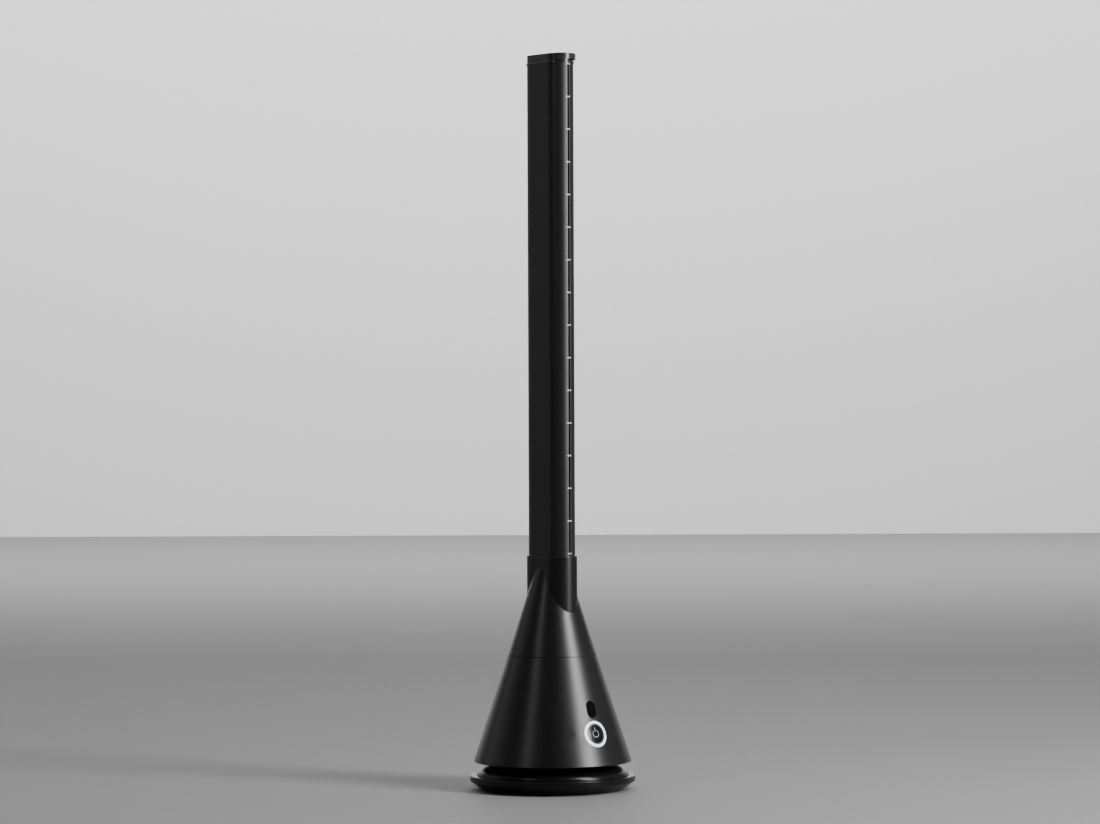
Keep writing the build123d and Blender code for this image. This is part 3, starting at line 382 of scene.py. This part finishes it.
def polished_moulding(name, colour, roughness=0.06, shine=0.5):
    """Polished plastic with faint wipe marks and dust specks."""
    material, tree, shader = surface(name)
    shader.inputs["Specular IOR Level"].default_value = shine
    wipe = noise(tree, 14.0, 4.0, (1.0, 1.0, 3.0))
    fine = noise(tree, 260.0, 4.0, rough=0.65)
    speck = (fine - 0.68).kept() * 5.0
    tone = (wipe * 0.6 + speck).kept()
    tree.links.new(tinted(tree, tone, shade(colour, 0.8), shade(colour, 1.8)), shader.inputs["Base Color"])
    finish = roughness + wipe * 0.05 + speck * 0.15
    tree.links.new(finish.source, shader.inputs["Roughness"])
    bumped(tree, shader, wipe, 0.00003, 0.15)
    return material


def anodised_extrusion(name, colour, roughness):
    """Anodised metal with fine draw lines along the extrusion."""
    material, tree, shader = surface(name)
    lines = noise(tree, 2200.0, 2.0, (1.0, 1.0, 0.004))
    cloud = noise(tree, 12.0, 3.0, (1.0, 1.0, 0.3))
    tone = (lines * 0.35 + cloud * 0.65).kept()
    tree.links.new(tinted(tree, tone, shade(colour, 0.85), shade(colour, 1.25)), shader.inputs["Base Color"])
    finish = roughness - 0.04 + lines * 0.05 + cloud * 0.04
    tree.links.new(finish.source, shader.inputs["Roughness"])
    bumped(tree, shader, lines, 0.00001, 0.35)
    return material


def bright_metal(name, colour, roughness, grain=900.0, stretch=(1.0, 1.0, 1.0)):
    """Worked metal with tool marks."""
    material, tree, shader = surface(name)
    marks = noise(tree, grain, 4.0, stretch)
    cloud = noise(tree, 60.0, 3.0)
    tone = (marks * 0.5 + cloud * 0.5).kept()
    tree.links.new(tinted(tree, tone, shade(colour, 0.75), shade(colour, 1.15)), shader.inputs["Base Color"])
    tree.links.new((roughness + marks * 0.12).source, shader.inputs["Roughness"])
    shader.inputs["Metallic"].default_value = 1.0
    bumped(tree, shader, marks, 0.00003, 0.4)
    return material


def cast_metal(name, colour, roughness=0.6):
    """Cast iron with a pebbled skin."""
    material, tree, shader = surface(name)
    pebble = noise(tree, 700.0, 5.0, rough=0.65)
    cloud = noise(tree, 30.0, 3.0)
    tone = (pebble * 0.6 + cloud * 0.4).kept()
    tree.links.new(tinted(tree, tone, shade(colour, 0.6), shade(colour, 1.3)), shader.inputs["Base Color"])
    tree.links.new((roughness + pebble * 0.2).source, shader.inputs["Roughness"])
    shader.inputs["Metallic"].default_value = 0.7
    bumped(tree, shader, pebble, 0.0001, 0.6)
    return material


def soft_elastomer(name, colour):
    """Soft black elastomer with a matt bloom."""
    material, tree, shader = surface(name)
    bloom = noise(tree, 500.0, 4.0, rough=0.6)
    tree.links.new(
        tinted(tree, bloom.kept(), shade(colour, 0.7), shade(colour, 1.6)), shader.inputs["Base Color"]
    )
    tree.links.new((0.72 + bloom * 0.15).source, shader.inputs["Roughness"])
    bumped(tree, shader, bloom, 0.00005, 0.4)
    return material


def laminate_board(name, colour):
    """Circuit board with copper tracks under green lacquer."""
    material, tree, shader = surface(name)
    brick = tree.nodes.new("ShaderNodeTexBrick")
    brick.inputs["Scale"].default_value = 160.0
    brick.inputs["Color1"].default_value = (*shade(colour, 0.8), 1.0)
    brick.inputs["Color2"].default_value = (*shade(colour, 1.2), 1.0)
    brick.inputs["Mortar"].default_value = (*shade(colour, 2.2), 1.0)
    brick.inputs["Mortar Size"].default_value = 0.05
    tree.links.new(place(tree), brick.inputs["Vector"])
    tree.links.new(brick.outputs[0], shader.inputs["Base Color"])
    fleck = noise(tree, 900.0, 3.0)
    tree.links.new((0.22 + fleck * 0.12).source, shader.inputs["Roughness"])
    bumped(tree, shader, fleck, 0.00002, 0.3)
    return material


def reach(tree, centre, axis):
    """Distance in metres from an axis through a centre."""
    coordinates = tree.nodes.new("ShaderNodeTexCoord")
    offset = tree.nodes.new("ShaderNodeVectorMath")
    offset.operation = "SUBTRACT"
    offset.inputs[1].default_value = centre
    tree.links.new(coordinates.outputs["Object"], offset.inputs[0])
    across = tree.nodes.new("ShaderNodeVectorMath")
    across.operation = "CROSS_PRODUCT"
    across.inputs[1].default_value = axis
    tree.links.new(offset.outputs[0], across.inputs[0])
    size = tree.nodes.new("ShaderNodeVectorMath")
    size.operation = "LENGTH"
    tree.links.new(across.outputs[0], size.inputs[0])
    return Sum(tree, size.outputs["Value"])


def lit_guide(name, colour, strength, lit_from=None):
    """Milky light guide that glows a little unevenly, or only outside a radius if one is given."""
    material, tree, shader = surface(name)
    cloud = noise(tree, 90.0, 3.0)
    glow = cloud.kept()
    dim = shade(colour, 0.86)
    if lit_from:
        low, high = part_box("light_ring")
        centre = [(a + b) / 2 for a, b in zip(low, high)]
        out = reach(tree, centre, (0.0, -math.cos(CONE_HALF_ANGLE), math.sin(CONE_HALF_ANGLE)))
        glow = ((out - lit_from) * RING_EDGE_SHARPNESS + cloud * 0.2).kept()
        dim = shade(colour, 0.03)
    tone = tinted(tree, glow, dim, colour)
    tree.links.new(tone, shader.inputs["Base Color"])
    tree.links.new(tone, shader.inputs["Emission Color"])
    shader.inputs["Emission Strength"].default_value = strength
    tree.links.new((0.28 + cloud * 0.1).source, shader.inputs["Roughness"])
    return material


def dress(material, *nodes):
    """Gives CAD nodes a material."""
    for name in nodes:
        mesh = NODES[name].data
        mesh.materials.clear()
        mesh.materials.append(material)


# Operators, one for each group of pieces


class FAN_OT_body(bpy.types.Operator):
    """Dresses the conical body, its seam and the collar"""

    bl_idname = "tower_fan.body"
    bl_label = "Conical body"

    def execute(self, context):
        finish = context.scene.tower_fan_finish
        shell = satin_moulding("satin_shell", tuple(finish.body_colour), finish.body_roughness)
        dress(shell, "lower_cone", "upper_cone")
        seal = soft_elastomer("seam_seal", (0.006, 0.006, 0.006))
        dress(seal, "seam_gasket", "column_gasket", "isolator_ring")
        return {"FINISHED"}


class FAN_OT_column(bpy.types.Operator):
    """Dresses the column, the air slot's insert and the top"""

    bl_idname = "tower_fan.column"
    bl_label = "Column and top"

    def execute(self, context):
        finish = context.scene.tower_fan_finish
        tube = anodised_extrusion("anodised_tube", tuple(finish.column_colour), finish.column_roughness)
        dress(tube, "column")
        # The slot insert is black; its pale bands at the vanes are painted highlights
        dress(slot_moulding_painted_glints("slot_lip_painted_glints", (0.02, 0.02, 0.021), (0.5, 0.5, 0.5)), "slot_insert")
        cap = polished_moulding("cap_moulding", (0.02, 0.02, 0.021), 0.22)
        dress(cap, "top_cap", "lip_ring")
        dress(satin_moulding("foot_moulding", (0.03, 0.03, 0.03), 0.5), "column_foot")
        return {"FINISHED"}


class FAN_OT_base(bpy.types.Operator):
    """Dresses the round base, its domed cover, plate and pads"""

    bl_idname = "tower_fan.base"
    bl_label = "Round base"

    def execute(self, context):
        finish = context.scene.tower_fan_finish
        gloss = polished_moulding("polished_cover", tuple(finish.gloss_colour), 0.24, 0.22)
        dress(gloss, "domed_cover", "base_disc")
        dress(satin_moulding("plain_moulding", (0.02, 0.02, 0.021), 0.5), "bottom_plate", "power_socket")
        pads = soft_elastomer("pad_elastomer", (0.012, 0.012, 0.012))
        dress(pads, "rubber_feet", "base_lead", "tower_lead")
        dress(cast_metal("ballast_casting", (0.1, 0.1, 0.105)), "ballast_plate")
        return {"FINISHED"}


class FAN_OT_controls(bpy.types.Operator):
    """Dresses the lit ring, the button, its mark and the window"""

    bl_idname = "tower_fan.controls"
    bl_label = "Button and window"

    def execute(self, context):
        finish = context.scene.tower_fan_finish
        glow = tuple(finish.glow_colour)
        dress(lit_guide("lit_ring", glow, finish.glow_strength, RING_LIT_FROM), "light_ring")
        dress(lit_guide("mark_inlay", (0.32, 0.33, 0.34), 0.08), "power_mark")
        dress(polished_moulding("button_gloss", (0.006, 0.006, 0.0065), 0.12), "power_button")
        dress(polished_moulding("infrared_lens", (0.003, 0.002, 0.003), 0.05), "sensor_window")
        dress(satin_moulding("housing_moulding", (0.03, 0.03, 0.032), 0.5), "button_housing")
        dress(satin_moulding("plunger_moulding", (0.6, 0.6, 0.58), 0.4), "switch_plunger")
        component = polished_moulding("component_body", (0.01, 0.01, 0.01), 0.3)
        dress(component, "infrared_receiver", "button_switch")
        dress(laminate_board("green_laminate", (0.012, 0.07, 0.03)), "driver_board", "control_board")
        return {"FINISHED"}


class FAN_OT_works(bpy.types.Operator):
    """Dresses the swing drive, the blower and the fasteners inside"""

    bl_idname = "tower_fan.works"
    bl_label = "Drive and blower"

    def execute(self, context):
        dress(satin_moulding("works_moulding", (0.045, 0.045, 0.048), 0.5), "turntable", "intake_grille")
        duct = satin_moulding("duct_moulding", (0.03, 0.03, 0.032), 0.45)
        dress(duct, "fan_bucket", "diffuser", "tail_fairing")
        dress(polished_moulding("impeller_moulding", (0.05, 0.05, 0.055), 0.3), "impeller")
        dress(
            satin_moulding("bearing_nylon", (0.62, 0.6, 0.54), 0.4),
            "ball_cage",
            "hub_bushing",
            "thrust_washer",
            "swing_gear",
            "swing_pinion",
        )
        dress(
            bright_metal("zinc_plate", (0.56, 0.57, 0.6), 0.28),
            "base_screws",
            "swing_motor_screws",
            "gear_screws",
            "grille_screws",
            "foot_screws",
            "shell_screws",
            "driver_screws",
            "board_screws",
            "column_screws",
        )
        dress(
            bright_metal("ground_steel", (0.6, 0.6, 0.61), 0.16, 1500.0, (1.0, 1.0, 6.0)),
            "spindle",
            "retaining_clip",
            "lower_race",
            "upper_race",
            "bearing_balls",
            "motor_bearings",
            "motor_shaft",
            "shaft_nut",
        )
        dress(bright_metal("drawn_can", (0.5, 0.5, 0.52), 0.3, 700.0), "swing_motor")
        dress(cast_metal("wound_stator", (0.28, 0.17, 0.1), 0.45), "motor_stator")
        dress(cast_metal("sintered_magnet", (0.12, 0.12, 0.125), 0.4), "rotor_magnet")
        return {"FINISHED"}


class FAN_OT_stage(bpy.types.Operator):
    """Builds the floor, the wall, the lights and the camera"""

    bl_idname = "tower_fan.stage"
    bl_label = "Stage and camera"

    def execute(self, context):
        stage = context.scene.tower_fan_stage
        bpy.ops.object.select_all(action="DESELECT")
        azimuth = stage.camera_azimuth
        ahead = Vector((-math.sin(azimuth), math.cos(azimuth), 0.0))
        aside = Vector((math.cos(azimuth), math.sin(azimuth), 0.0))
        turn = Matrix((aside, ahead, Vector((0.0, 0.0, 1.0)))).transposed().to_4x4()

        floor_centre = stage.wall_distance + WALL_OVERLAP - FLOOR_DEPTH / 2
        level_sheet = Matrix.Translation((0.0, floor_centre, 0.0))
        floor = self.sheet("floor", SHEET_WIDTH, FLOOR_DEPTH, turn, level_sheet)
        floor.data.materials.append(self.plain("pale_floor", stage.floor_tone, 0.6))
        raised = Matrix.Translation((0.0, stage.wall_distance, WALL_HEIGHT / 2))
        upright = raised @ Matrix.Rotation(math.radians(90), 4, "X")
        wall = self.sheet("wall", SHEET_WIDTH, WALL_HEIGHT, turn, upright)
        wall.data.materials.append(self.plain("pale_wall", stage.wall_tone, 0.9))

        self.lamp("key_softbox", turn, (60.0, 25.0, 2.4), 0.45, 0.62, 2.2, stage.key_power)
        self.lamp("fill_softbox", turn, (-42.0, 32.0, 2.6), 0.45, 0.4, 1.4, stage.fill_power)
        self.lamp("wall_wash", turn, (180.0, 38.0, 6.8), 0.0, 9.0, 1.0, stage.wash_power, (0.0, 9.0, 1.6))
        self.lamp("overhead", turn, (180.0, 75.0, 5.0), 0.0, 6.0, 6.0, stage.overhead_power)

        context.scene.world = self.room(turn, stage.room_light)

        lens = bpy.data.cameras.new("studio_camera")
        lens.lens = stage.lens
        lens.sensor_width = 36.0
        lens.clip_start = 0.05
        lens.clip_end = 60.0
        camera = bpy.data.objects.new("studio_camera", lens)
        context.scene.collection.objects.link(camera)
        camera.location = -ahead * stage.camera_distance + Vector((0.0, 0.0, stage.camera_height))
        level = Matrix.Rotation(azimuth + CAMERA_AIM_TURN, 4, "Z")
        tip = Matrix.Rotation(math.radians(90) - stage.camera_pitch, 4, "X")
        lean = Matrix.Rotation(-stage.camera_roll, 4, "Z")
        camera.rotation_euler = (level @ tip @ lean).to_euler()
        context.scene.camera = camera
        return {"FINISHED"}

    def room(self, turn, strength):
        """Soft room that is bright behind the fan and dim behind the camera."""
        world = bpy.data.worlds.new("soft_room")
        world.use_nodes = True
        tree = world.node_tree
        background = next(n for n in tree.nodes if n.type == "BACKGROUND")
        coordinates = tree.nodes.new("ShaderNodeTexCoord")
        towards = tree.nodes.new("ShaderNodeVectorMath")
        towards.operation = "DOT_PRODUCT"
        towards.inputs[1].default_value = turn.to_3x3() @ Vector(BRIGHT_SIDE)
        tree.links.new(coordinates.outputs["Generated"], towards.inputs[0])
        ramp = tree.nodes.new("ShaderNodeValToRGB")
        stops = ramp.color_ramp.elements
        stops[0].position, stops[1].position = ROOM_TONES[0][0], ROOM_TONES[-1][0]
        for position, _ in ROOM_TONES[1:-1]:
            stops.new(position)
        for stop, (_, tone) in zip(stops, ROOM_TONES):
            stop.color = (tone, tone, tone, 1.0)
        share = Sum(tree, towards.outputs["Value"]) * 0.5 + 0.5
        tree.links.new(share.source, ramp.inputs[0])
        tree.links.new(ramp.outputs[0], background.inputs["Color"])
        background.inputs["Strength"].default_value = strength
        return world

    def sheet(self, name, width, depth, turn, local):
        """Flat sheet for the floor or the wall, with its place in its mesh."""
        bpy.ops.object.select_all(action="DESELECT")
        bpy.ops.mesh.primitive_plane_add(size=1.0, location=(0.0, 0.0, 0.0))
        made = bpy.context.active_object
        made.name = name
        made.data.transform(turn @ local @ Matrix.Diagonal((width, depth, 1.0, 1.0)))
        return made

    def plain(self, name, tone, roughness):
        """Plain pale surface with a faint grain."""
        material, tree, shader = surface(name)
        grain = noise(tree, 40.0, 4.0)
        tree.links.new(
            tinted(tree, grain.kept(), (tone * 0.97,) * 3, (tone * 1.03,) * 3), shader.inputs["Base Color"]
        )
        shader.inputs["Roughness"].default_value = roughness
        shader.inputs["Specular IOR Level"].default_value = 0.08
        return material

    def lamp(self, name, turn, direction, height_at, width, tall, power, aim=None):
        """Soft area light; its direction is degrees right of the camera, degrees up and metres away."""
        right, up, away = math.radians(direction[0]), math.radians(direction[1]), direction[2]
        level = away * math.cos(up)
        start = Vector((level * math.sin(right), -level * math.cos(right), height_at + away * math.sin(up)))
        end = Vector(aim or (0.0, 0.0, height_at))
        data = bpy.data.lights.new(name, "AREA")
        data.shape = "RECTANGLE"
        data.size = width
        data.size_y = tall
        data.energy = power
        lamp = bpy.data.objects.new(name, data)
        bpy.context.scene.collection.objects.link(lamp)
        lamp.location = turn @ start
        lamp.rotation_euler = (turn @ end - turn @ start).to_track_quat("-Z", "Y").to_euler()
        return lamp


class FAN_PT_sidebar(bpy.types.Panel):
    """Sidebar panel that lists the fan's sizes, colours and steps"""

    bl_idname = "FAN_PT_sidebar"
    bl_label = "Tower fan"
    bl_space_type = "VIEW_3D"
    bl_region_type = "UI"
    bl_category = "Tower Fan"

    def draw(self, context):
        layout = self.layout
        for group in (context.scene.tower_fan_finish, context.scene.tower_fan_stage):
            box = layout.box()
            for name in group.bl_rna.properties.keys():
                if name not in {"rna_type", "name"}:
                    box.prop(group, name)
        for step in STEPS:
            layout.operator(step.bl_idname)


STEPS = (FAN_OT_body, FAN_OT_column, FAN_OT_base, FAN_OT_controls, FAN_OT_works, FAN_OT_stage)
CLASSES = (TowerFanFinish, TowerFanStage, *STEPS, FAN_PT_sidebar)


def register():
    """Registers the classes and hangs the settings on the scene."""
    for cls in CLASSES:
        bpy.utils.register_class(cls)
    bpy.types.Scene.tower_fan_finish = bpy.props.PointerProperty(type=TowerFanFinish)
    bpy.types.Scene.tower_fan_stage = bpy.props.PointerProperty(type=TowerFanStage)


def unregister():
    """Takes the settings and the classes away again."""
    del bpy.types.Scene.tower_fan_stage
    del bpy.types.Scene.tower_fan_finish
    for cls in reversed(CLASSES):
        bpy.utils.unregister_class(cls)


def main():
    """Builds everything in order."""
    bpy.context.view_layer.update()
    register()
    bpy.ops.tower_fan.body()
    bpy.ops.tower_fan.column()
    bpy.ops.tower_fan.base()
    bpy.ops.tower_fan.controls()
    bpy.ops.tower_fan.works()
    bpy.ops.tower_fan.stage()


if __name__ == "__main__":
    main()
